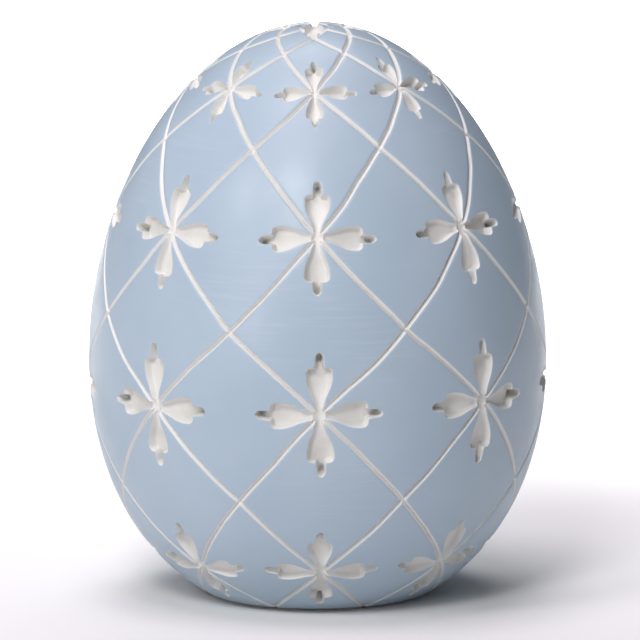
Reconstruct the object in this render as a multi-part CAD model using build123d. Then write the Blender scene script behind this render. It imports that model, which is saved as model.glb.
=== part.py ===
from build123d import *
import math
import os

# A hollow cast ornamental egg, 150 mm tall, standing on a flat foot.
# Its white casting carries a thin pale-blue coat.  A net of crossing spiral lines is cut through
# the coat, and four-petalled flowers are sunk deeper, into the casting, where the lines cross.
# The coat is therefore a set of separate diamond-shaped islands, in rows round the egg.
# The pour hole in the foot is plugged and covered by a felt disc.
# Frame: Z is the egg's axis and points up, the origin is the middle of the felt's underside,
# and one flower of every ring faces -Y.

# ---- overall form (mm) ------------------------------------------------------------------
height = 150.0               # whole egg, felt included
felt_proud = 0.4             # how far the felt stands below the foot rim
belly_radius = 59.5          # radius factor of the outline
blunt_end = (-0.1107, 0.0331, -0.0166)   # shaping terms that fatten the lower end
foot_cut = -0.895            # height of the foot plane, as a share of the upper half-length

# ---- casting ----------------------------------------------------------------------------
wall = 4.5                   # casting wall
floor_height = 6.0           # height of the cavity's flat floor
pour_hole_radius = 7.0
felt_radius = 25.0
felt_thickness = 1.6

# ---- engraving --------------------------------------------------------------------------
flowers_round = 8            # flowers in every ring
line_width = 1.25
flower_depth = 1.5
coat_thickness = 0.3

# Heights at which the spiral lines cross one another, from the foot to the crown.  Even rows
# lie on the flowers' meridians, odd rows on the meridians between them.
crossing_heights = (-5.0, 0.4, 12.4, 32.6, 56.5, 77.9, 101.3, 122.5, 135.7, 144.0, 147.4, 148.85, 149.5)
first_crossing = -2          # row number of the first height; row 0 is the lowest flower ring
lowest_coat_row = -1         # rows of coat islands, named after the crossings at their sides
highest_coat_row = 9

# Reach of a petal from its flower's centre, for the flower rings at rows 0, 2, 4 and 6.
petal_reach = {0: 14.6, 2: 16.3, 4: 15.0, 6: 10.6}
crown_reach = 13.0

# Petal outline as shares of its reach: distance along the petal, and half width there.
petal_side = [(0.14, 0.075), (0.28, 0.110), (0.50, 0.205), (0.66, 0.220)]
petal_shoulder = [(0.73, 0.200), (0.755, 0.150)]
finger_half_width = 0.080

# ---- modelling allowances ---------------------------------------------------------------
outline_points = 14
line_stations = 10           # stations along a line between two crossings
line_overrun = 0.2           # how far a line's cutter runs past its crossings, in rows
cutter_lift = 1.4            # how far the line cutters start above the land
cutter_drop = 1.4            # and how far they reach below it
flower_lift = 2.4            # how far the flower cutters start above the land
hole_cutter_length = 24.0    # pour hole's cutter, centred on the felt's underside
core_overlap = 10.0          # degrees by which the core taken out of the coat is wider than it
keep_size = 240.0            # edge of the box that keeps what stands above a base plane
smallest_island = 2.0        # coat slivers under this volume (mm3) would not hold on the casting
foot_island_row = -0.6       # where the middle of a foot island lies, as the foot plane cuts it off

half_step = 180.0 / flowers_round     # degrees between a flower's meridian and the next plain one
lowest_polar = math.acos(-0.98)       # the outline is drawn on past the foot plane to here
below_foot = -3.0                     # height down to which the engraving tools reach
rim_height = felt_proud
egg_height = height - rim_height


# ---- the egg's outline ------------------------------------------------------------------
def outline(polar):
    """Radius and height of the land at a polar angle, 0 at the crown."""
    u = math.cos(polar)
    odd, even, skew = blunt_end
    shaping = 1 + odd * u + even * u**2 + skew * u**3
    radius = belly_radius * math.sin(polar) * shaping
    return radius, rim_height + egg_height * (u - foot_cut) / (1 - foot_cut)


def outline_normal(polar):
    """Outward unit normal of the outline, as radius and height parts."""
    step = 1e-4
    r0, z0 = outline(polar - step)
    r1, z1 = outline(polar + step)
    length = math.hypot(r1 - r0, z1 - z0)
    return -(z1 - z0) / length, (r1 - r0) / length


def below_land(polar, depth):
    """Radius and height of the point at a depth under the land."""
    r, z = outline(polar)
    nr, nz = outline_normal(polar)
    return r - depth * nr, z - depth * nz


def polar_at_height(z):
    """Polar angle of the land at a height."""
    return math.acos(foot_cut + (z - rim_height) / egg_height * (1 - foot_cut))


def egg_solid(depth, base_height, turn=360):
    """Egg whose surface lies at a depth under the land, cut flat at base_height."""
    polars = [lowest_polar * i / outline_points for i in range(1, outline_points + 1)]
    points = [(below_land(p, depth)[0], 0, below_land(p, depth)[1]) for p in polars]
    top = (0, 0, height - depth)
    nr, nz = outline_normal(lowest_polar)
    skin = Spline([top] + points, tangents=[(1, 0, 0), (nz, 0, -nr)])
    base_point = points[-1]
    base = Polyline(base_point, (0, 0, base_point[2]), top)
    start = Rot(0, 0, -90 - turn / 2) * make_face(skin + base)
    full = revolve(start, Axis.Z, turn)
    return full & Pos(0, 0, base_height + keep_size / 2) * Box(keep_size, keep_size, keep_size)


# ---- the engraved net -------------------------------------------------------------------
def land_frame(polar, angle):
    """Point of the land and its outward normal, at a polar angle and a turn from -Y."""
    r, z = outline(polar)
    nr, nz = outline_normal(polar)
    turn = math.radians(angle)
    outward = Vector(math.sin(turn), -math.cos(turn), 0)
    return outward * r + Vector(0, 0, z), outward * nr + Vector(0, 0, nz)


def polar_at_row(row):
    """Polar angle where a line has climbed to a row, smooth from crossing to crossing."""
    last = len(crossing_heights) - 1
    below = min(max(math.floor(row) - first_crossing, 0), last - 1)
    share = row - first_crossing - below
    picks = [min(max(below + i, 0), last) for i in (-1, 0, 1, 2)]
    p0, p1, p2, p3 = [polar_at_height(crossing_heights[i]) for i in picks]
    bend = (2 * p0 - 5 * p1 + 4 * p2 - p3) * share**2 + (3 * (p1 - p2) + p3 - p0) * share**3
    return p1 + 0.5 * ((p2 - p0) * share + bend)


def line_cutter(start_row, start_angle, turn):
    """Bar that follows one line of the net from a crossing to the next one up."""
    rows = [i / line_stations * (1 + 2 * line_overrun) - line_overrun for i in range(line_stations + 1)]
    frames = [land_frame(polar_at_row(start_row + t), start_angle + turn * half_step * t) for t in rows]
    points = [point for point, _ in frames]
    corners = [[], [], [], []]
    for i, (point, normal) in enumerate(frames):
        ahead = points[min(i + 1, len(points) - 1)] - points[max(i - 1, 0)]
        side = normal.cross(ahead).normalized() * (line_width / 2)
        above = point + normal * cutter_lift
        under = point - normal * cutter_drop
        for row, corner in zip(corners, (above + side, above - side, under - side, under + side)):
            row.append(corner)
    edges = [Edge.make_spline(row) for row in corners]
    walls = [Face.make_surface_from_curves(edges[i], edges[(i + 1) % 4]) for i in range(4)]
    for i in (0, -1):
        ring = [row[i] for row in corners]
        walls.append(Face.make_surface_from_curves(Edge.make_line(ring[0], ring[1]),
                                                   Edge.make_line(ring[3], ring[2])))
    return Solid(Shell(walls))


# ---- the flowers ------------------------------------------------------------------------
def petal_face(reach):
    """Flat petal along +X: narrow neck, full belly, two round shoulders and a finger beyond."""
    neck = petal_side[0]
    over_shoulder, shoulder_end = petal_shoulder
    finger_root = (shoulder_end[0], finger_half_width)
    finger_end = (1 - finger_half_width, finger_half_width)

    def half(sign):
        side, over, end, root, tip = [
            [(reach * x, sign * reach * y) for x, y in group]
            for group in (petal_side, [over_shoulder], [shoulder_end], [finger_root], [finger_end])
        ]
        return [
            Line((0, side[0][1]), side[0]),
            Spline(side, tangents=[(1, 0), (1, 0)]),
            ThreePointArc(side[-1], over[0], end[0]),
            Line(end[0], root[0]),
            Line(root[0], tip[0]),
        ]

    tip_arc = ThreePointArc((reach * finger_end[0], reach * finger_end[1]), (reach, 0),
                            (reach * finger_end[0], -reach * finger_end[1]))
    centre_line = Line((0, -reach * neck[1]), (0, reach * neck[1]))
    return make_face(half(1) + half(-1) + [tip_arc, centre_line])


def flower_cutter(polar, reach, angle=0):
    """Four petals at right angles, sunk to flower_depth under the land."""
    point, normal = land_frame(polar, 0)
    plane = Plane(origin=point, x_dir=(1, 0, 0), z_dir=normal)
    flower = Sketch() + [Rot(0, 0, quarter) * petal_face(reach) for quarter in (0, 90, 180, 270)]
    drop = flower_depth + reach**2 / belly_radius
    prism = extrude(plane * Pos(0, 0, flower_lift) * flower, amount=-(flower_lift + drop))
    return Rot(0, 0, angle) * (prism - egg_solid(flower_depth, below_foot))


def around(tool, count):
    """Copies of a tool turned about the egg's axis."""
    return [Rot(0, 0, 360 / count * i) * tool for i in range(count)]


# ---- the pieces -------------------------------------------------------------------------
def flower_cutters():
    """All the flowers of the egg."""
    tools = [flower_cutter(0, crown_reach)]
    for row, reach in petal_reach.items():
        tools += around(flower_cutter(polar_at_row(row), reach), flowers_round)
    return tools


def white_casting():
    """Hollow casting with the flowers sunk in it, open at the pour hole."""
    body = egg_solid(coat_thickness, rim_height) - flower_cutters()
    body -= egg_solid(wall, floor_height)
    body -= Cylinder(pour_hole_radius, hole_cutter_length)
    return body - Pos(0, 0, felt_thickness / 2) * Cylinder(felt_radius, felt_thickness)


def pour_hole_plug():
    """Stopper that fills the pour hole from the felt to the cavity's floor."""
    length = floor_height - felt_thickness
    return Pos(0, 0, felt_thickness + length / 2) * Cylinder(pour_hole_radius, length)


def foot_felt():
    """Felt disc glued in the foot's recess, standing a little below the rim."""
    return Pos(0, 0, felt_thickness / 2) * Cylinder(felt_radius, felt_thickness)


def coat_blank():
    """Unbroken coat over a sector of the land, centred on the front."""
    turn = 3 * half_step
    return egg_solid(0, rim_height, turn) - egg_solid(coat_thickness, below_foot, turn + core_overlap)


def coat_island(row, blank):
    """Island of coat between four crossings, with its middle on the front meridian."""
    island = blank
    starts = [(row - 1, 0, 1), (row - 1, 0, -1), (row, -half_step, 1), (row, half_step, -1)]
    for start_row, start_angle, turn in starts:
        island -= line_cutter(start_row, start_angle, turn)
    if row % 2:
        corners = [(row - 1, 0), (row + 1, 0)]
    else:
        corners = [(row, -half_step), (row, half_step)]
    for corner_row, angle in corners:
        if corner_row in petal_reach:
            island -= flower_cutter(polar_at_row(corner_row), petal_reach[corner_row], angle)
    middle = land_frame(polar_at_row(max(row, foot_island_row)), 0)[0]
    return min(island.solids(), key=lambda solid: (solid.center() - middle).length)


def coat_row(row, blank):
    """All the islands of one row; the crown flower takes what it overlaps."""
    first = Rot(0, 0, 0 if row % 2 else half_step) * coat_island(row, blank)
    islands = around(first, flowers_round)
    if row > max(petal_reach):
        crown = flower_cutter(0, crown_reach)
        islands = [solid for island in islands for solid in (island - crown).solids()]
    return Compound(children=[island for island in islands if island.volume > smallest_island])


def main():
    os.makedirs("parts", exist_ok=True)
    pieces = {
        "white_casting": white_casting(),
        "pour_hole_plug": pour_hole_plug(),
        "foot_felt": foot_felt(),
    }
    blank = coat_blank()
    for row in range(lowest_coat_row, highest_coat_row + 1):
        pieces[f"coat_row_{row - lowest_coat_row:02d}"] = coat_row(row, blank)
    for name, piece in pieces.items():
        print(name, round(piece.volume, 1), len(piece.solids()))
        export_step(piece, f"parts/{name}.step")


if __name__ == "__main__":
    main()
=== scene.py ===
import math

import bpy
import numpy as np
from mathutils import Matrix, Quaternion, Vector, noise
from mathutils.geometry import delaunay_2d_cdt


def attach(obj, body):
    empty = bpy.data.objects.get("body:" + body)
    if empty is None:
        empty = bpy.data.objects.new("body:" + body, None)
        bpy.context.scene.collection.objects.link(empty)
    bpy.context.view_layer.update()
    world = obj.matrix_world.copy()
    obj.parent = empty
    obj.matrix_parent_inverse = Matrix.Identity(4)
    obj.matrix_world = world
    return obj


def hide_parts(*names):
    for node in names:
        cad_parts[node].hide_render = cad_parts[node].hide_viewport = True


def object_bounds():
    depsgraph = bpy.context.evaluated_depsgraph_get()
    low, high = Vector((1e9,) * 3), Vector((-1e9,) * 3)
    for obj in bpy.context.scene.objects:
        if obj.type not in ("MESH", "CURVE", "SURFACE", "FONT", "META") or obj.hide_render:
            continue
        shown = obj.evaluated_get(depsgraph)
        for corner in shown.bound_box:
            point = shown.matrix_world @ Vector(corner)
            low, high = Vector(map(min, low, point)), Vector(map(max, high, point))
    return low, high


# A cast ornamental egg with a pale-blue coat, engraved with a net of spiral lines and flowers.
# One eighth of the surface is laid out flat, by the angle-true map of an egg onto a disc, and
# meshed there with edges along every engraved outline.  It is then mirrored and turned round the
# egg, loosened a little so that no two flowers are alike, and sunk to the engraving's depth.
# Lengths in this file are millimetres until a mesh is made.

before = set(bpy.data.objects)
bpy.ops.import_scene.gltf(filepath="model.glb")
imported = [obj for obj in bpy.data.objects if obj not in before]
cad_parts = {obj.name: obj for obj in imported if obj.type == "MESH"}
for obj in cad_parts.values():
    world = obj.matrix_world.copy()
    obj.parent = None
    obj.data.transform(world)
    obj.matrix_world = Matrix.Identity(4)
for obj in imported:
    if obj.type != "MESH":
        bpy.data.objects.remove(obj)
cad_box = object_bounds()

METRE = 1000.0

# ---- form, as in the CAD model ------------------------------------------------------------
HEIGHT = (cad_box[1][2] - cad_box[0][2]) * METRE
RIM_HEIGHT = 0.4
BELLY_RADIUS = 59.5
BLUNT_END = (-0.1107, 0.0331, -0.0166)
FOOT_CUT = -0.895
WALL = 4.5
FLOOR_HEIGHT = 6.0
POUR_HOLE_RADIUS = 7.0
FELT_RADIUS = 25.0
FELT_THICKNESS = 1.6
FELT_TOP_SHARES = (0.5, 0.9, 0.99)       # rings of its top, as shares of its radius
# (inset, height) of the rings down its soft rim
FELT_RIM = ((0.02, FELT_THICKNESS - 0.25), (0.02, 0.45), (0.12, 0.18), (0.4, 0.05), (0.9, 0.0))
FELT_RING_STEP = 1.2
TUFT_WIDTH = 0.9
TUFT_HEIGHT = 0.05
TUFT_LIMIT = 0.3             # only points lower than this are tufted

# Heights at which the lines cross, row by row; the first is the row FIRST_CROSSING.
CROSSING_HEIGHTS = (-5.0, 0.4, 12.4, 32.6, 56.5, 77.9, 101.3, 122.5, 135.7, 144.0, 147.4, 148.85,
                    149.5)
FIRST_CROSSING = -2
CROWN_ROW = 10               # above this row the lines have merged into one
FLOWERS_ROUND = 8
HALF_STEP = math.pi / FLOWERS_ROUND
SECTOR = 2 * HALF_STEP
COAT_ROWS = range(-1, 10)

PETAL_REACH = {0: 14.6, 2: 16.3, 4: 15.0, 6: 10.6}   # by the row of a ring of flowers
CROWN_REACH = 13.0
# (distance along, half width) of a petal as shares of its reach; the last six are its finger.
PETAL_OUTLINE = ((0.070, 0.070), (0.14, 0.072), (0.20, 0.082), (0.28, 0.108), (0.36, 0.143),
                 (0.44, 0.177), (0.52, 0.200), (0.60, 0.211), (0.68, 0.212), (0.72, 0.203),
                 (0.748, 0.178), (0.760, 0.140), (0.764, 0.084), (0.84, 0.074), (0.91, 0.069),
                 (0.96, 0.058), (0.99, 0.032), (1.0, 0.0))

# ---- engraving ----------------------------------------------------------------------------
LINE_HALF_WIDTH = 0.62
LINE_DEPTH = 0.85
COAT_THICKNESS = 0.10
COAT_GAP = 0.01
COAT_EDGE = 0.16             # width over which the coat's edge is worn round
COAT_EDGE_DROP = 0.95        # share of the coat's thickness lost at its edge
LINE_ROUNDING = 1.10         # 1 is a plain V, more rounds its bottom
WALL_WIDTH = 0.65            # steep part of a petal's wall
WALL_DEPTH = 1.75
FLOOR_HOLLOW = 0.35          # how much deeper the middle of a petal is than the foot of its walls
END_DEPTH = 0.35             # how much deeper a petal is at its shoulders
FINGER_DEPTH = 1.2           # and how much deeper still in its finger
RIDGE = 0.55                 # share of the depth lost where a level petal meets the upright channel

# ---- hand work: how far the pattern strays -----------------------------------------------
MIDDLE_HEIGHT = 71.8
PATTERN_LEAN = math.radians(0.48)
PATTERN_TURN = math.radians(0.27)
STRAYS = ((18.0, 0.55), (6.0, 0.16))     # (wavelength, size) of the wander of every outline
STRAY_ORIGIN = np.array([-234.0, -61.0, 123.0])   # place in the noise where the wander is read
FOOT_FADE = 10.0             # height over which the wander dies away at the foot
STRAY_SEED = 1               # without a seed, noise_vector follows the clock
noise.seed_set(STRAY_SEED)

# ---- mesh fineness ------------------------------------------------------------------------
LINE_STEP = 0.9
PETAL_STEP = 0.45
PETAL_FILL = 0.8
PETAL_FILL_INSET = 0.35      # how far inside the foot of a petal's walls its fill stays
SECTOR_MARGIN = 0.05         # how far curves are drawn past the sector, in radians
LOWEST_ROW = -1.4            # the lines are drawn from below the foot
ROW_STEP = 0.02
CROWN_OVERLAP = 0.1          # climb by which the crown's line starts below the last row
CROWN_SAMPLES = 30
CROWN_CLIMB = 7.0            # the mesh's rows stop here, beside the crown's middle point
CROWN_POINT_CLIMB = CROWN_CLIMB + 1      # any place past this is the crown's middle point
BORDER_STEP = 0.6
CASTING_LAND_STEP = 3.5
CASTING_CLEARANCE = 1.5      # how far the land's fill stays from the engraving
COAT_STEP = 2.2
COAT_RING = 0.8              # outermost of the rings that follow the coat's edge
COAT_CLEARANCE = 1.3
FLOWER_MARGIN = 3.0          # how far past its reach a flower is looked for
DROP_RANGE = (-12.0, 4.0)    # where along a flower's normal the egg is looked for
DROP_HALVINGS = 40
RING_POINTS = 120
CAVITY_RINGS = 40
CAVITY_CORNER = 1.0          # width of the ring between the cavity's floor and its wall
FOOT_RING_RADIUS = 29.0
PAST_A_TURN = 7.0            # more than any angle in radians
FAR = 1e3

# ---- colours ------------------------------------------------------------------------------
COAT_DEEP = (0.362, 0.460, 0.546)
COAT_PALE = (0.400, 0.497, 0.584)
COAT_RUBBED = (0.53, 0.59, 0.68)
# paler edge colour: worn paint and a painted highlight
COAT_WORN_AND_HIGHLIT = (0.64, 0.67, 0.70)
CASTING_PALE = (0.735, 0.74, 0.72)
# colour of deep carving: creamier, and darker as a painted shade
CASTING_DEEP_SHADED = (0.675, 0.675, 0.64)
# painted shade for the deepest parts of the petals' fingers
CASTING_PAINTED_SHADE = (0.24, 0.245, 0.255)
CASTING_STAIN = (0.42, 0.40, 0.36)
FELT_DARK = (0.085, 0.09, 0.095)
FELT_PALE = (0.21, 0.215, 0.22)
RUBBER_DARK = (0.018, 0.018, 0.019)
RUBBER_BLOOM = (0.06, 0.06, 0.062)
FLOOR_PALE = (0.80, 0.80, 0.805)
FLOOR_WHITE = (0.84, 0.84, 0.84)


# ---- the outline --------------------------------------------------------------------------
def outline(polar):
    """Radius and height of the land at a polar angle, 0 at the crown."""
    u = np.cos(polar)
    odd, even, skew = BLUNT_END
    radius = BELLY_RADIUS * np.sin(polar) * (1 + odd * u + even * u**2 + skew * u**3)
    return radius, RIM_HEIGHT + (HEIGHT - RIM_HEIGHT) * (u - FOOT_CUT) / (1 - FOOT_CUT)


def outline_normal(polar):
    """Outward unit normal of the outline, as radius and height parts."""
    step = 1e-5
    r0, z0 = outline(polar - step)
    r1, z1 = outline(polar + step)
    length = np.hypot(r1 - r0, z1 - z0)
    return -(z1 - z0) / length, (r1 - r0) / length


def polar_at_height(z):
    """Polar angle of the land at a height."""
    return math.acos(FOOT_CUT + (z - RIM_HEIGHT) / (HEIGHT - RIM_HEIGHT) * (1 - FOOT_CUT))


# The angle-true climb: its change is the arc length over the radius, and it is 0 at the foot.
FOOT_POLAR = math.acos(FOOT_CUT)
_polars = np.geomspace(1e-4, FOOT_POLAR + 0.25, 6000)
_r, _z = outline(_polars)
_steps = np.hypot(np.diff(_r), np.diff(_z)) / (0.5 * (_r[1:] + _r[:-1]))
_climb = np.concatenate(([0.0], np.cumsum(_steps)))
_climb = np.interp(FOOT_POLAR, _polars, _climb) - _climb


def polar_at_climb(climb):
    """Polar angle of the land at a climb, 0 past the crown's last row."""
    return np.where(climb > CROWN_POINT_CLIMB, 0.0, np.interp(climb, _climb[::-1], _polars[::-1]))


def climb_at_polar(polar):
    """Climb of the land at a polar angle."""
    return np.interp(polar, _polars, _climb)


def polar_at_row(row):
    """Polar angle where a line has climbed to a row, smooth from crossing to crossing."""
    knots = np.array([polar_at_height(z) for z in CROSSING_HEIGHTS])
    last = len(knots) - 1
    below = np.clip(np.floor(row).astype(int) - FIRST_CROSSING, 0, last - 1)
    share = row - FIRST_CROSSING - below
    p0, p1, p2, p3 = [knots[np.clip(below + i, 0, last)] for i in (-1, 0, 1, 2)]
    bend = (2 * p0 - 5 * p1 + 4 * p2 - p3) * share**2 + (3 * (p1 - p2) + p3 - p0) * share**3
    return p1 + 0.5 * ((p2 - p0) * share + bend)


_rows = np.linspace(FIRST_CROSSING + 0.5, CROWN_ROW + 1, 1200)
_row_climb = climb_at_polar(polar_at_row(_rows))


def row_at_climb(climb):
    """Row that a line has reached at a climb."""
    return np.interp(climb, _row_climb, _rows)


def land_points(angle, climb):
    """Points of the land, their normals and their radii, at turns from -Y and climbs."""
    return land_at_polar(angle, polar_at_climb(climb))


def land_at_polar(angle, polar):
    """The same as land_points, at polar angles."""
    r, z = outline(polar)
    nr, nz = outline_normal(polar)
    out = np.stack([np.sin(angle), -np.cos(angle), 0 * angle], -1)
    up = np.array([0.0, 0.0, 1.0])
    return out * r[..., None] + up * z[..., None], out * nr[..., None] + up * nz[..., None], r


# The same outline by the direction in which each place is seen from the middle of the egg.
_looks = np.arctan2(_r, _z - MIDDLE_HEIGHT)


def settled(points):
    """Points near the land, brought back onto it: (points, normals)."""
    look = np.arctan2(np.hypot(points[:, 0], points[:, 1]), points[:, 2] - MIDDLE_HEIGHT)
    polar = np.interp(look, _looks, _polars)
    return land_at_polar(np.arctan2(points[:, 0], -points[:, 1]), polar)[:2]


# ---- the engraving in the flat sector -----------------------------------------------------
def flower_centres():
    """(angle, climb, reach) of the flowers that touch the sector."""
    centres = []
    for row, reach in PETAL_REACH.items():
        climb = float(climb_at_polar(polar_at_row(np.array(float(row)))))
        centres += [(angle, climb, reach) for angle in (0.0, SECTOR)]
    return centres


def flower_frame(angle, climb):
    """Origin, sideways and upward unit vectors and normal of a flower."""
    point, normal, _ = land_points(np.array(angle), np.array(climb))
    side = np.array([math.cos(angle), math.sin(angle), 0.0])
    return point, side, np.cross(normal, side), normal


def into_flower(points, flower):
    """A flower's own flat coordinates of points on the egg."""
    origin, side, upward, _ = flower
    return (points - origin) @ side, (points - origin) @ upward


CROWN_FLOWER = (np.array([0.0, 0.0, HEIGHT]), np.array([1.0, 0.0, 0.0]), np.array([0.0, 1.0, 0.0]),
                np.array([0.0, 0.0, 1.0]))
FLOWERS = [(flower_frame(angle, climb), reach) for angle, climb, reach in flower_centres()]
FLOWERS.append((CROWN_FLOWER, CROWN_REACH))


def onto_egg(x, y, flower):
    """(angle, climb) of a flower's flat points, dropped on the egg along the flower's normal."""
    origin, side, upward, normal = flower
    points = origin + x[:, None] * side + y[:, None] * upward
    if flower is CROWN_FLOWER:
        cap = _polars < 1
        polar = np.interp(np.hypot(x, y), _r[cap], _polars[cap])
        return np.arctan2(points[:, 0], -points[:, 1]), climb_at_polar(polar)
    inside, outside = (np.full(len(x), end) for end in DROP_RANGE)
    for _ in range(DROP_HALVINGS):
        middle = (inside + outside) / 2
        here = points + middle[:, None] * normal
        is_out = np.hypot(here[:, 0], here[:, 1]) > np.interp(here[:, 2], _z[::-1], _r[::-1])
        inside, outside = np.where(is_out, inside, middle), np.where(is_out, middle, outside)
    polar = np.interp(-here[:, 2], -_z, _polars)
    return np.arctan2(here[:, 0], -here[:, 1]), climb_at_polar(polar)


def petal_distance(a, b, reach):
    """Distance in from the outline of the four petals, and distance along the nearest petal.

    a and b are a flower's flat coordinates. The first distance is negative outside the petals, and
    the second is a share of the reach."""
    along, across = np.maximum(abs(a), abs(b)), np.minimum(abs(a), abs(b))
    edge = np.array(PETAL_OUTLINE) * reach
    starts, ends = edge[:-1], edge[1:]
    span = ends - starts
    offset_x = along[:, None] - starts[:, 0]
    offset_y = across[:, None] - starts[:, 1]
    share = np.clip((offset_x * span[:, 0] + offset_y * span[:, 1]) / (span**2).sum(1), 0, 1)
    gap = np.hypot(offset_x - share * span[:, 0], offset_y - share * span[:, 1]).min(1)
    half_width = np.interp(along, edge[:, 0], edge[:, 1], right=-1.0)
    half_width[along < edge[0, 0]] = reach
    return np.where(across < half_width, gap, -gap), along / reach


def smooth(x):
    """A rise from 0 to 1 with level ends."""
    x = np.clip(x, 0, 1)
    return x * x * (3 - 2 * x)


def petal_depth(inward, along, level):
    """Depth of a petal's scoop: steep walls, a hollow floor, a deep finger and a ridge at its root.

    level is 1 in the petals that lie level and 0 in the upright ones."""
    wall = WALL_DEPTH * (0.72 + 0.28 * smooth((along - 0.12) / 0.4))
    wall = wall + END_DEPTH * smooth((along - 0.5) / 0.3) + FINGER_DEPTH * smooth((along - 0.79) / 0.15)
    hollow = FLOOR_HOLLOW * smooth((along - 0.15) / 0.5) * smooth(inward / 2.6)
    share = np.clip(inward / WALL_WIDTH, 0, 1)
    steep = share * (1.5 - 0.5 * share**2)
    ridge = 1 - RIDGE * level * (1 - smooth(abs(along - 0.1) / 0.05))
    return (wall * steep + hollow) * ridge


# ---- the net ------------------------------------------------------------------------------
def climb_per_row(row):
    """Slope of the lines: climb gained from one row to the next."""
    step = 0.01
    above, below = (climb_at_polar(polar_at_row(row + shift)) for shift in (step, -step))
    return (above - below) / (2 * step)


def line_distances(angle, climb, radius):
    """Distances from the nearest right-hand line, left-hand line and crown line."""
    row = row_at_climb(climb)
    slope = climb_per_row(row)
    across = 2 * HALF_STEP * radius * slope / np.hypot(HALF_STEP, slope)
    gaps = []
    for turn in (1, -1):
        phase = (angle / HALF_STEP - turn * row) / 2
        gaps.append(np.where(row < CROWN_ROW, abs(phase - np.round(phase)) * across, FAR))
    along_crown = row > CROWN_ROW - 0.5
    gaps.append(np.where(along_crown, abs(angle - SECTOR) * radius, FAR))
    return np.array(gaps)


def line_depth(gaps):
    """Depth of the V-shaped lines at distances from each of them."""
    share = np.clip(gaps / LINE_HALF_WIDTH, 0, 1)
    return (LINE_DEPTH * (1 - share ** LINE_ROUNDING)).max(0)


def near_flowers(points):
    """For each flower near any of the points: which points, their flat coordinates and its reach."""
    for flower, reach in FLOWERS:
        near = np.linalg.norm(points - flower[0], axis=1) < reach + FLOWER_MARGIN
        if near.any():
            yield near, *into_flower(points[near], flower), reach


def engraving(angle, climb):
    """Depth of the engraving, and distance in from its edge, which is negative on the land."""
    points, _, radius = land_points(angle, climb)
    gaps = line_distances(angle, climb, radius)
    depth = line_depth(gaps)
    inward = LINE_HALF_WIDTH - gaps.min(0)
    for near, sideways, upward, reach in near_flowers(points):
        within, along = petal_distance(sideways, upward, reach)
        scoop = np.where(within > 0, petal_depth(within, along, abs(sideways) > abs(upward)), 0)
        depth[near] = np.maximum(depth[near], scoop)
        inward[near] = np.maximum(inward[near], within)
    return depth, inward


def inside_petals(angle, climb):
    """Distance in from the outline of the nearest flower's petals."""
    points, _, _ = land_points(angle, climb)
    best = np.full(len(angle), -FAR)
    for near, sideways, upward, reach in near_flowers(points):
        best[near] = np.maximum(best[near], petal_distance(sideways, upward, reach)[0])
    return best


def evenly(curve, step):
    """A curve of (angle, climb) sampled again at even steps of length on the egg."""
    _, _, radius = land_points(curve[:, 0], curve[:, 1])
    length = np.hypot(*np.diff(curve, axis=0).T) * radius[1:]
    along = np.concatenate(([0.0], np.cumsum(length)))
    count = max(int(round(along[-1] / step)), 1)
    places = np.linspace(0, along[-1], count + 1)
    return np.stack([np.interp(places, along, curve[:, i]) for i in (0, 1)], 1)


def runs(curve, keep):
    """The stretches of a curve whose points are kept."""
    edges = np.flatnonzero(np.diff(np.concatenate(([0], keep.astype(int), [0]))))
    return [curve[a:b] for a, b in edges.reshape(-1, 2) if b - a > 1]


def in_sector(curve, margin=SECTOR_MARGIN):
    """Which points of a curve are in the sector or within a margin of it."""
    return (curve[:, 0] > -margin) & (curve[:, 0] < SECTOR + margin) & (curve[:, 1] > -margin)


_line_rows = np.arange(LOWEST_ROW, CROWN_ROW + ROW_STEP / 20, ROW_STEP)
_line_climbs = climb_at_polar(polar_at_row(_line_rows))


def spiral_curves(offsets, step):
    """Curves at offsets from the middle of every spiral line in the sector."""
    slope = climb_per_row(_line_rows)
    curves = []
    for turn in (1, -1):
        for start in range(-FLOWERS_ROUND, FLOWERS_ROUND):
            middle = np.stack([turn * HALF_STEP * _line_rows + start * SECTOR, _line_climbs], 1)
            if in_sector(middle).sum() < 2:
                continue
            aside = np.stack([-slope, np.full(len(slope), turn * HALF_STEP)], 1)
            aside /= np.hypot(*aside.T)[:, None]
            radius = land_points(*middle.T)[2]
            for offset in offsets:
                curve = middle + aside * (offset / radius)[:, None]
                curves += [evenly(part, step) for part in runs(curve, in_sector(curve))]
    return curves


def crown_curves(offsets, step):
    """Curves on the sector's side of the line that the spirals merge into near the crown."""
    climb = np.linspace(_line_climbs[-1] - CROWN_OVERLAP, CROWN_CLIMB, CROWN_SAMPLES)
    radius = land_points(climb * 0, climb)[2]
    middles = [SECTOR + offset / radius for offset in offsets if offset <= 0]
    return [evenly(np.stack([angle, climb], 1), step) for angle in middles]


def line_curves(offsets, step):
    """Curves at offsets from the middle of every line in the sector, left out deep inside petals."""
    kept = []
    for curve in spiral_curves(offsets, step) + crown_curves(offsets, step):
        kept += runs(curve, inside_petals(*curve.T) < LINE_STEP)
    return kept


def petal_curve(reach, inset, step):
    """Flat outline of one petal along +X, drawn inset by a distance, from one side to the other."""
    edge = np.array(PETAL_OUTLINE) * reach
    edge = np.concatenate((edge, edge[-2::-1] * (1, -1)))
    length = np.concatenate(([0.0], np.cumsum(np.hypot(*np.diff(edge, axis=0).T))))
    places = np.linspace(0, length[-1], int(round(length[-1] / step)) + 1)
    x, y = (np.interp(places, length, edge[:, i]) for i in (0, 1))
    heading = np.stack([np.gradient(x), np.gradient(y)], 1)
    heading /= np.hypot(*heading.T)[:, None]
    return np.stack([x + heading[:, 1] * inset, y - heading[:, 0] * inset], 1)


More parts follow.
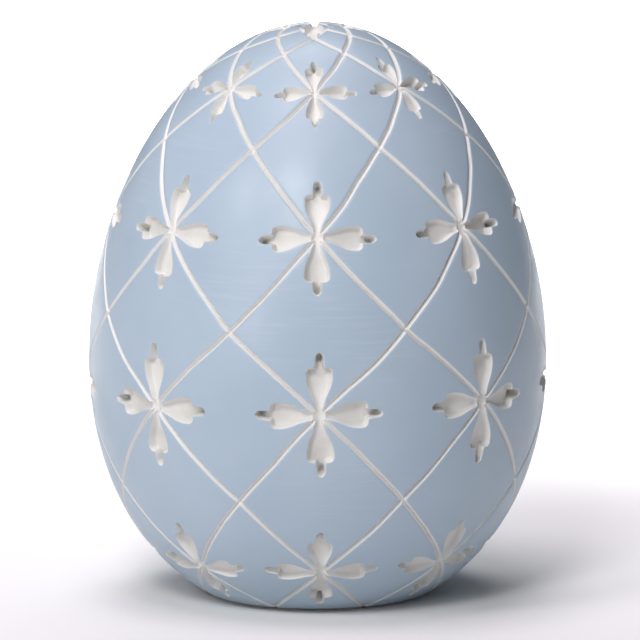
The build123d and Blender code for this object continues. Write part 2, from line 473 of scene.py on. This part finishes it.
def petal_curves(inset, step):
    """Outlines of every petal in the sector, inset by a distance."""
    curves = []
    for flower, reach in FLOWERS:
        flat = petal_curve(reach, inset, step)
        for _ in range(4):
            flat = np.stack([-flat[:, 1], flat[:, 0]], 1)
            curve = np.stack(onto_egg(flat[:, 0], flat[:, 1], flower), 1)
            curves += runs(curve, in_sector(curve))
    return curves


def petal_fill(spacing, inset):
    """Points spread inside every petal of the sector, no nearer its outline than inset."""
    places = []
    for flower, reach in FLOWERS:
        steps = np.arange(-reach, reach, spacing)
        x, y = np.meshgrid(steps, steps * math.sqrt(0.75))
        x = x + (np.arange(len(steps)) % 2 * spacing / 2)[:, None]
        x, y = x.ravel(), y.ravel()
        keep = petal_distance(x, y, reach)[0] > inset
        places.append(np.stack(onto_egg(x[keep], y[keep], flower), 1))
    places = np.concatenate(places)
    return places[in_sector(places, 0)]


def land_fill(spacing, clearance):
    """Points spread over the land, no nearer the engraving than clearance."""
    places = []
    climb = 0.0
    odd = False
    while climb < CROWN_CLIMB:
        radius = float(land_points(np.array(0.0), np.array(climb))[2])
        climb += spacing * math.sqrt(0.75) / radius
        count = max(int(round(SECTOR * radius / spacing)), 1)
        angles = (np.arange(count) + (0.25 if odd else 0.75)) / count * SECTOR
        places.append(np.stack([angles, np.full(count, climb)], 1))
        odd = not odd
    places = np.concatenate(places)
    return places[engraving(*places.T)[1] < -clearance]


def sector_border(spacing):
    """The sector's sides and foot as (angle, climb), and the step of angle along the foot."""
    climbs = [0.0]
    while climbs[-1] < CROWN_CLIMB:
        radius = float(land_points(np.array(0.0), np.array(climbs[-1]))[2])
        climbs.append(climbs[-1] + spacing / radius)
    climbs = np.array(climbs[:-1])
    side = np.stack([0 * climbs, climbs], 1)
    foot_radius = float(land_points(np.array(0.0), np.array(0.0))[2])
    foot = np.linspace(0, SECTOR, int(round(SECTOR * foot_radius / spacing)) + 1)
    return side, side + (SECTOR, 0), np.stack([foot, 0 * foot], 1)[1:-1], foot[1]


def to_disc(places):
    """The angle-true map of (angle, climb) onto a disc."""
    spread = np.exp(-places[:, 1])
    return np.stack([spread * np.cos(places[:, 0]), spread * np.sin(places[:, 0])], 1)


def from_disc(flat):
    """The (angle, climb) of places on the disc."""
    spread = np.maximum(np.hypot(*flat.T), 1e-9)
    return np.stack([np.arctan2(flat[:, 1], flat[:, 0]), -np.log(spread)], 1)


def triangulate(curves, fills):
    """Triangles of the sector with edges along the curves: (places, triangles)."""
    up, down, foot, foot_step = sector_border(BORDER_STEP)
    border = np.concatenate((to_disc(up), [[0.0, 0.0]], to_disc(down)[::-1], to_disc(foot)[::-1]))
    coords, edges = [border], []
    total = len(border)
    for curve in curves:
        edges += [(total + i, total + i + 1) for i in range(len(curve) - 1)]
        coords.append(to_disc(curve))
        total += len(curve)
    for fill in fills:
        coords.append(to_disc(fill))
    flat = [Vector(place) for place in np.concatenate(coords).tolist()]
    found = delaunay_2d_cdt(flat, edges, [list(range(len(border)))], 1, 1e-8)
    flat = np.array([tuple(vertex) for vertex in found[0]])
    faces = np.array([face for face in found[2] if len(face) == 3])
    middle = flat[faces].mean(1)
    turn = np.arctan2(middle[:, 1], middle[:, 0])
    foot_turn = (np.floor(turn / foot_step) + 0.5) * foot_step
    above_foot = np.hypot(*middle.T) * np.cos(turn - foot_turn) < math.cos(foot_step / 2)
    return from_disc(flat), faces[(turn > 0) & (turn < SECTOR) & above_foot]


def round_the_egg(places, faces):
    """The sector mirrored and turned round the whole egg, joined at its borders.

    Returns the angle of each point, the place in the sector that it came from, and the faces."""
    count = len(places)
    at_start = abs(places[:, 0]) < 1e-7
    at_end = abs(places[:, 0] - SECTOR) < 1e-7
    at_crown = places[:, 1] > CROWN_POINT_CLIMB
    own = np.arange(count)
    triangles = []
    for copy in range(FLOWERS_ROUND):
        mirrored = copy % 2 == 1
        name = own + copy * count
        if mirrored:
            name[at_start] -= count
            name[at_end] -= 3 * count
            name[name < 0] += FLOWERS_ROUND * count
        name[at_crown] = own[at_crown]
        triangles.append(name[faces[:, ::-1] if mirrored else faces])
    used, joined = np.unique(np.concatenate(triangles), return_inverse=True)
    source, copy = used % count, used // count
    angle = np.where(copy % 2 == 1, -1, 1) * places[source, 0] + copy // 2 * 2 * SECTOR
    return angle, source, joined.reshape(-1, 3)


def loosened(angle, climb):
    """Points and normals of the land, moved along it as hand work strays."""
    points = land_points(angle + PATTERN_TURN, climb)[0]
    shift = PATTERN_LEAN * np.stack([MIDDLE_HEIGHT - points[:, 2], 0 * angle, points[:, 0]], 1)
    for wavelength, size in STRAYS:
        places = (points + STRAY_ORIGIN) / wavelength
        shift += size * np.array([noise.noise_vector(Vector(place)) for place in places.tolist()])
    shift *= smooth((points[:, 2] - RIM_HEIGHT) / FOOT_FADE)[:, None]
    return settled(points + shift)


# ---- meshes -------------------------------------------------------------------------------
def make_piece(name, points, faces, facts, sharp_angle):
    """A smooth-shaded object from points in millimetres, with a value at each point for each fact."""
    mesh = bpy.data.meshes.new(name)
    faces = faces if isinstance(faces, list) else faces.tolist()
    mesh.from_pydata((points / METRE).tolist(), [], faces)
    for label, values in facts.items():
        mesh.attributes.new(label, "FLOAT", "POINT").data.foreach_set("value", values)
    mesh.polygons.foreach_set("use_smooth", [True] * len(mesh.polygons))
    mesh.set_sharp_from_angle(angle=math.radians(sharp_angle))
    piece = bpy.data.objects.new(name, mesh)
    bpy.context.scene.collection.objects.link(piece)
    return piece


def open_edges(faces):
    """Directed edges that only one face has."""
    edges = np.concatenate((faces[:, (0, 1)], faces[:, (1, 2)], faces[:, (2, 0)]))
    key = edges.min(1) * (faces.max() + 1) + edges.max(1)
    _, first, count = np.unique(key, return_index=True, return_counts=True)
    return edges[first[count == 1]]


def circle(radius, height):
    """A level ring of points, from -Y round."""
    turns = np.arange(RING_POINTS) / RING_POINTS * 2 * math.pi
    return np.stack([radius * np.sin(turns), -radius * np.cos(turns), 0 * turns + height], 1)


def between_rings(outer, inner, points):
    """Triangles joining two rings of point numbers, each in order of its angle."""
    def turns(ring):
        return np.arctan2(points[ring, 0], -points[ring, 1]) % (2 * math.pi)

    outer, inner = outer[np.argsort(turns(outer))], inner[np.argsort(turns(inner))]
    outer_turns, inner_turns = (np.append(turns(ring), PAST_A_TURN) for ring in (outer, inner))
    faces = []
    i = j = 0
    while i < len(outer) or j < len(inner):
        a, b = outer[i % len(outer)], inner[j % len(inner)]
        if outer_turns[i] <= inner_turns[j]:
            i += 1
            faces.append((a, b, outer[i % len(outer)]))
        else:
            j += 1
            faces.append((a, b, inner[j % len(inner)]))
    return np.array(faces)


def hollow_rings():
    """(radius, height) of the rings from the foot in through the pour hole and round the cavity."""
    polars = np.linspace(0, math.pi, CAVITY_RINGS + 1)[1:]
    ceiling = [land_at_polar(np.array(0.0), polar) for polar in polars]
    wall = [(WALL * normal[1] - point[1], point[2] - WALL * normal[2]) for point, normal, _ in ceiling]
    wall = [(radius, height) for radius, height in wall if height > FLOOR_HEIGHT]
    rings = [(FOOT_RING_RADIUS, RIM_HEIGHT), (FELT_RADIUS, RIM_HEIGHT), (FELT_RADIUS, FELT_THICKNESS),
             (POUR_HOLE_RADIUS, FELT_THICKNESS), (POUR_HOLE_RADIUS, FLOOR_HEIGHT)]
    return rings + [(wall[-1][0] - CAVITY_CORNER, FLOOR_HEIGHT)] + wall[::-1]


def build_casting():
    """The white casting: engraved outside, and its foot, felt recess, pour hole and cavity."""
    curves = line_curves((-LINE_HALF_WIDTH, 0, LINE_HALF_WIDTH), LINE_STEP) + petal_curves(0, PETAL_STEP)
    fills = line_curves((-LINE_HALF_WIDTH / 2, LINE_HALF_WIDTH / 2), LINE_STEP)
    for inset in (WALL_WIDTH / 3, WALL_WIDTH * 2 / 3, WALL_WIDTH):
        fills += petal_curves(inset, PETAL_STEP)
    fills.append(petal_fill(PETAL_FILL, WALL_WIDTH + PETAL_FILL_INSET))
    fills.append(land_fill(CASTING_LAND_STEP, CASTING_CLEARANCE))
    places, faces = triangulate(curves, fills)
    depth = engraving(*places.T)[0]
    angle, source, faces = round_the_egg(places, faces)
    depth = depth[source]
    points, normals = loosened(angle, places[source, 1])
    points = points - normals * (COAT_THICKNESS + COAT_GAP + depth)[:, None]

    loop = np.unique(open_edges(faces))
    faces = [faces]
    for radius, height in hollow_rings():
        total = len(points)
        points = np.concatenate((points, circle(radius, height)))
        ring = np.arange(total, total + RING_POINTS)
        faces.append(between_rings(loop, ring, points))
        loop = ring
    points = np.concatenate((points, [[0.0, 0.0, HEIGHT - WALL]]))
    faces.append(np.stack([loop, np.full(RING_POINTS, len(points) - 1), np.roll(loop, -1)], 1))
    depth = np.concatenate((depth, np.zeros(len(points) - len(depth))))
    facts = {"carved_mm": depth}
    return make_piece("white_casting_cast", points, np.concatenate(faces), facts, sharp_angle=50)


def build_coats():
    """The blue coat, one piece for each row of its islands."""
    curves = line_curves((-LINE_HALF_WIDTH, LINE_HALF_WIDTH), LINE_STEP) + petal_curves(0, PETAL_STEP)
    fills = []
    for offset in (COAT_EDGE / 2, COAT_EDGE, COAT_RING):
        fills += line_curves((-LINE_HALF_WIDTH - offset, LINE_HALF_WIDTH + offset), LINE_STEP)
        fills += petal_curves(-offset, PETAL_STEP)
    fills.append(land_fill(COAT_STEP, COAT_CLEARANCE))
    places, faces = triangulate(curves, fills)
    middles = from_disc(to_disc(places)[faces].mean(1))
    faces = faces[engraving(*middles.T)[1] < 0]
    inward = engraving(*places.T)[1]
    angle, source, faces = round_the_egg(places, faces)
    climb = places[source, 1]
    outward = np.maximum(-inward[source], 0)
    points, normals = loosened(angle, climb)
    worn = 1 - np.clip(outward / COAT_EDGE, 0, 1)
    drop = COAT_EDGE_DROP * COAT_THICKNESS * (1 - np.sqrt(1 - worn**2))
    top = points - normals * drop[:, None]
    under = points - normals * COAT_THICKNESS

    direction = np.stack([np.cos(angle), np.sin(angle)], 1)[faces].mean(1)
    middle_angle = np.arctan2(direction[:, 1], direction[:, 0])
    middle_row = row_at_climb(climb[faces].mean(1))
    across = middle_angle / HALF_STEP
    rows = np.floor((middle_row + across) / 2) + np.floor((middle_row - across) / 2) + 1
    rows = np.minimum(rows.astype(int), COAT_ROWS[-1])
    coats = []
    for row in COAT_ROWS:
        used, own = np.unique(faces[rows == row], return_inverse=True)
        own = own.reshape(-1, 3)
        count = len(used)
        a, b = open_edges(own).T
        sides = np.concatenate((np.stack([a, a + count, b + count], 1), np.stack([a, b + count, b], 1)))
        shell = np.concatenate((own, own[:, ::-1] + count, sides))
        facts = {"from_edge_mm": np.tile(outward[used], 2)}
        both = np.concatenate((top[used], under[used]))
        coats.append(make_piece(f"blue_coat_{row + 1:02d}", both, shell, facts, sharp_angle=60))
    return coats


def build_felt():
    """The felt disc under the foot, with a soft edge and a felted, uneven underside."""
    rings = [(FELT_RADIUS * share, FELT_THICKNESS) for share in FELT_TOP_SHARES]
    rings += [(FELT_RADIUS - inset, height) for inset, height in FELT_RIM]
    rings += [(radius, 0.0) for radius in np.arange(FELT_RADIUS - 2, 0.5, -FELT_RING_STEP)]
    middles = [[0.0, 0.0, FELT_THICKNESS], [0.0, 0.0, 0.0]]
    points = np.concatenate([circle(radius, height) for radius, height in rings] + [middles])
    count = len(points)
    top, bottom = count - 2, count - 1
    number = np.arange(RING_POINTS)
    faces = [(top, i, (i + 1) % RING_POINTS) for i in number]
    for ring in range(len(rings) - 1):
        for i in number:
            a, b = ring * RING_POINTS + i, ring * RING_POINTS + (i + 1) % RING_POINTS
            faces.append((a, a + RING_POINTS, b + RING_POINTS, b))
    last = (len(rings) - 1) * RING_POINTS
    faces += [(last + i, bottom, last + (i + 1) % RING_POINTS) for i in number]
    tufts = np.array([noise.noise(Vector(point)) for point in (points / TUFT_WIDTH).tolist()])
    points[:, 2] += np.where(points[:, 2] < TUFT_LIMIT, TUFT_HEIGHT * abs(tufts), 0)
    return make_piece("foot_felt_disc", points, faces, {}, sharp_angle=80)


# ---- materials ----------------------------------------------------------------------------
class Shader:
    """A principled material and the few node patterns that the materials here share."""

    def __init__(self, name, roughness, specular=0.5):
        self.material = bpy.data.materials.new(name)
        self.material.use_nodes = True
        self.tree = self.material.node_tree
        self.main = self.tree.nodes["Principled BSDF"]
        self.main.inputs["Roughness"].default_value = roughness
        self.main.inputs["Specular IOR Level"].default_value = specular
        self.places = self.tree.nodes.new("ShaderNodeTexCoord").outputs["Object"]

    def link(self, start, end):
        self.tree.links.new(start, end)

    def fact(self, label):
        node = self.tree.nodes.new("ShaderNodeAttribute")
        node.attribute_name = label
        return node.outputs["Fac"]

    def grain(self, per_metre, detail=3.0, stretch=(1.0, 1.0, 1.0), shift=0.0):
        """Noise of a fineness, stretched; returns its value."""
        mapping = self.tree.nodes.new("ShaderNodeMapping")
        mapping.inputs["Scale"].default_value = stretch
        mapping.inputs["Location"].default_value = (shift, shift, shift)
        self.link(self.places, mapping.inputs["Vector"])
        node = self.tree.nodes.new("ShaderNodeTexNoise")
        node.inputs["Scale"].default_value = per_metre
        node.inputs["Detail"].default_value = detail
        self.link(mapping.outputs["Vector"], node.inputs["Vector"])
        return node.outputs["Fac"]

    def ramp(self, value, stops):
        """A colour ramp of (value, colour) stops."""
        node = self.tree.nodes.new("ShaderNodeValToRGB")
        while len(node.color_ramp.elements) < len(stops):
            node.color_ramp.elements.new(0.5)
        for element, (place, colour) in zip(node.color_ramp.elements, stops):
            element.position = place
            element.color = (*colour, 1.0)
        self.link(value, node.inputs["Fac"])
        return node.outputs["Color"]

    def spread(self, value, low, high, to_low=0.0, to_high=1.0):
        """A value's range from low to high, stretched to another and clamped."""
        node = self.tree.nodes.new("ShaderNodeMapRange")
        limits = {"From Min": low, "From Max": high, "To Min": to_low, "To Max": to_high}
        for socket, number in limits.items():
            node.inputs[socket].default_value = number
        self.link(value, node.inputs["Value"])
        return node.outputs["Result"]

    def mix(self, share, first, second):
        """Two colours mixed, each a tuple or a socket."""
        node = self.tree.nodes.new("ShaderNodeMix")
        node.data_type = "RGBA"
        self.link(share, node.inputs["Factor"])
        for socket, value in zip((node.inputs[6], node.inputs[7]), (first, second)):
            if isinstance(value, tuple):
                socket.default_value = (*value, 1.0)
            else:
                self.link(value, socket)
        return node.outputs[2]

    def times(self, first, second):
        node = self.tree.nodes.new("ShaderNodeMath")
        node.operation = "MULTIPLY"
        self.link(first, node.inputs[0])
        self.link(second, node.inputs[1])
        return node.outputs[0]

    def colour(self, value):
        self.link(value, self.main.inputs["Base Color"])

    def bump(self, heights):
        """Bumps stacked on each other: (value, depth in millimetres) for each."""
        normal = None
        for value, depth in heights:
            node = self.tree.nodes.new("ShaderNodeBump")
            node.inputs["Strength"].default_value = 1.0
            node.inputs["Distance"].default_value = depth / METRE
            self.link(value, node.inputs["Height"])
            if normal is not None:
                self.link(normal, node.inputs["Normal"])
            normal = node.outputs["Normal"]
        self.link(normal, self.main.inputs["Normal"])


def coat_material():
    """Pale blue, rubbed smooth: cloudy, faintly streaked round, and paler at its edges, partly from worn
    paint and partly as a painted highlight on the rims.
    """
    shader = Shader("pale_blue_coat", 0.38, 0.38)
    clouds = shader.ramp(shader.grain(34), [(0.30, COAT_DEEP), (0.70, COAT_PALE)])
    streaks = shader.grain(60, 4.0, (1.0, 1.0, 26.0), 3.0)
    rubbed = shader.spread(shader.grain(22, 2.0, shift=9.0), 0.46, 0.66)
    streaked = shader.times(shader.spread(streaks, 0.52, 0.75, 0.0, 0.35), rubbed)
    colour = shader.mix(streaked, clouds, COAT_RUBBED)
    # paler rim along every edge of the coat: worn paint, and a painted highlight for rims that catch the
    # light
    edge = shader.spread(shader.fact("from_edge_mm"), 0.02, 0.22, 0.55, 0.0)
    shader.colour(shader.mix(edge, colour, COAT_WORN_AND_HIGHLIT))
    rough = shader.spread(shader.grain(90, 3.0, shift=5.0), 0.3, 0.7, 0.30, 0.43)
    shader.link(rough, shader.main.inputs["Roughness"])
    dents = shader.grain(160, 2.0, shift=2.0)
    shader.bump([(dents, 0.05), (streaks, 0.02), (shader.grain(2600, 2.0), 0.006)])
    return shader.material


def casting_material():
    """Cream-white cast body, stained where it is carved; darker and creamier the deeper it is carved,
    the darkening a painted shade, and a painted shade of dark grey where deepest.
    """
    shader = Shader("cream_casting", 0.5)
    carved = shader.fact("carved_mm")
    # the deeper the carving, the darker and creamier its colour; the darkening is painted shade
    deep = shader.spread(carved, 0.1, 2.0)
    tint = shader.mix(deep, CASTING_PALE, CASTING_DEEP_SHADED)
    # painted shade: the deepest parts of the fingers darken towards dark grey
    tint = shader.mix(shader.spread(carved, 2.4, 3.4, 0.0, 0.40), tint, CASTING_PAINTED_SHADE)
    stain = shader.spread(shader.grain(120, 4.0), 0.52, 0.78, 0.0, 0.45)
    shader.colour(shader.mix(shader.times(stain, deep), tint, CASTING_STAIN))
    rough = shader.spread(shader.grain(300, 3.0, shift=4.0), 0.3, 0.7, 0.42, 0.6)
    shader.link(rough, shader.main.inputs["Roughness"])
    shader.bump([(shader.grain(420, 2.0), 0.05), (shader.grain(1800, 3.0, shift=7.0), 0.012)])
    return shader.material


def felt_material():
    """Grey felt with a fibrous surface."""
    shader = Shader("grey_felt", 0.95, 0.2)
    fibres = shader.grain(1500, 6.0)
    shader.colour(shader.ramp(fibres, [(0.35, FELT_DARK), (0.68, FELT_PALE)]))
    shader.main.inputs["Sheen Weight"].default_value = 0.35
    shader.bump([(fibres, 0.15), (shader.grain(380, 5.0, shift=2.0), 0.2)])
    return shader.material


def plug_material():
    """Black rubber with a faint bloom."""
    shader = Shader("black_rubber", 0.55)
    bloom = shader.grain(260, 5.0)
    shader.colour(shader.ramp(bloom, [(0.40, RUBBER_DARK), (0.75, RUBBER_BLOOM)]))
    rough = shader.spread(bloom, 0.3, 0.7, 0.45, 0.7)
    shader.link(rough, shader.main.inputs["Roughness"])
    shader.bump([(shader.grain(1400, 3.0, shift=2.0), 0.02)])
    return shader.material


def floor_material():
    """A plain pale floor."""
    shader = Shader("pale_floor", 0.9, 0.1)
    shader.colour(shader.ramp(shader.grain(3, 2.0), [(0.3, FLOOR_PALE), (0.7, FLOOR_WHITE)]))
    return shader.material


# ---- the pieces ---------------------------------------------------------------------------
casting = build_casting()
casting.data.materials.append(casting_material())
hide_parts("white_casting")
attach(casting, "root")

blue = coat_material()
for row, coat in zip(COAT_ROWS, build_coats()):
    coat.data.materials.append(blue)
    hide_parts(f"coat_row_{row + 1:02d}")
    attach(coat, "root")

felt = build_felt()
felt.data.materials.append(felt_material())
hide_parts("foot_felt")
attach(felt, "root")

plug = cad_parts["pour_hole_plug"]
plug.data.materials.clear()
plug.data.materials.append(plug_material())

# ---- floor, light and camera --------------------------------------------------------------
FLOOR_SIZE = 6.0
FLOOR_DROP = 0.0005          # keeps the floor just clear of the felt
bpy.ops.mesh.primitive_plane_add(size=FLOOR_SIZE, location=(0, 0, -FLOOR_DROP))
floor = bpy.context.object
floor.name = "floor"
floor.data.materials.append(floor_material())

ROOM_COLOUR = (0.80, 0.90, 1.0, 1.0)
ROOM_STRENGTH = 0.07
world = bpy.data.worlds.new("soft_room")
bpy.context.scene.world = world
world.use_nodes = True
background = world.node_tree.nodes["Background"]
background.inputs["Color"].default_value = ROOM_COLOUR
background.inputs["Strength"].default_value = ROOM_STRENGTH


def soft_light(name, place, aim, size, power, colour, spread=180.0):
    """A square area light at a place, facing an aim, all in metres and watts."""
    data = bpy.data.lights.new(name, "AREA")
    data.size = size
    data.energy = power
    data.color = colour
    data.spread = math.radians(spread)
    light = bpy.data.objects.new(name, data)
    light.location = place
    light.rotation_euler = (Vector(aim) - Vector(place)).to_track_quat("-Z", "Y").to_euler()
    bpy.context.scene.collection.objects.link(light)


egg_middle = (0.0, 0.0, MIDDLE_HEIGHT / METRE)
soft_light("overhead", (-0.2, -0.2, 1.6), egg_middle, 0.75, 10.5, (1.0, 0.88, 0.97))
soft_light("key", (-0.4, -1.4, 1.4), egg_middle, 0.5, 16.0, (1.0, 0.98, 0.98))
soft_light("upper_left", (-1.1, -0.9, 1.15), egg_middle, 0.45, 6.5, (1.0, 0.99, 0.98))
soft_light("front_left", (-0.95, -1.45, 0.4), egg_middle, 0.4, 5.2, (1.0, 0.95, 0.99))
soft_light("right", (1.6, -0.6, 0.6), egg_middle, 0.8, 1.2, (0.97, 0.98, 1.0))
soft_light("backdrop", (0.0, 1.0, 1.3), (0.0, 1.0, 0.0), 0.9, 16.0, (1.0, 1.0, 1.0), 70.0)

CAMERA_DISTANCE = 2.11
CAMERA_ELEVATION = math.radians(9.55)
CAMERA_ROLL = math.radians(0.23)
LENS = 453.8
AIM = Vector((0.00065, 0.0, 0.07127))
away = Vector((0.0, -math.cos(CAMERA_ELEVATION), math.sin(CAMERA_ELEVATION)))
camera_data = bpy.data.cameras.new("camera")
camera_data.lens = LENS
camera_data.sensor_width = 36.0
camera_data.clip_end = 20.0
camera = bpy.data.objects.new("camera", camera_data)
camera.location = AIM + away * CAMERA_DISTANCE
camera.rotation_mode = "QUATERNION"
roll = Quaternion((0.0, 0.0, 1.0), -CAMERA_ROLL)
camera.rotation_quaternion = (-away).to_track_quat("-Z", "Y") @ roll
bpy.context.scene.collection.objects.link(camera)
bpy.context.scene.camera = camera
bpy.context.scene.view_settings.view_transform = "Standard"
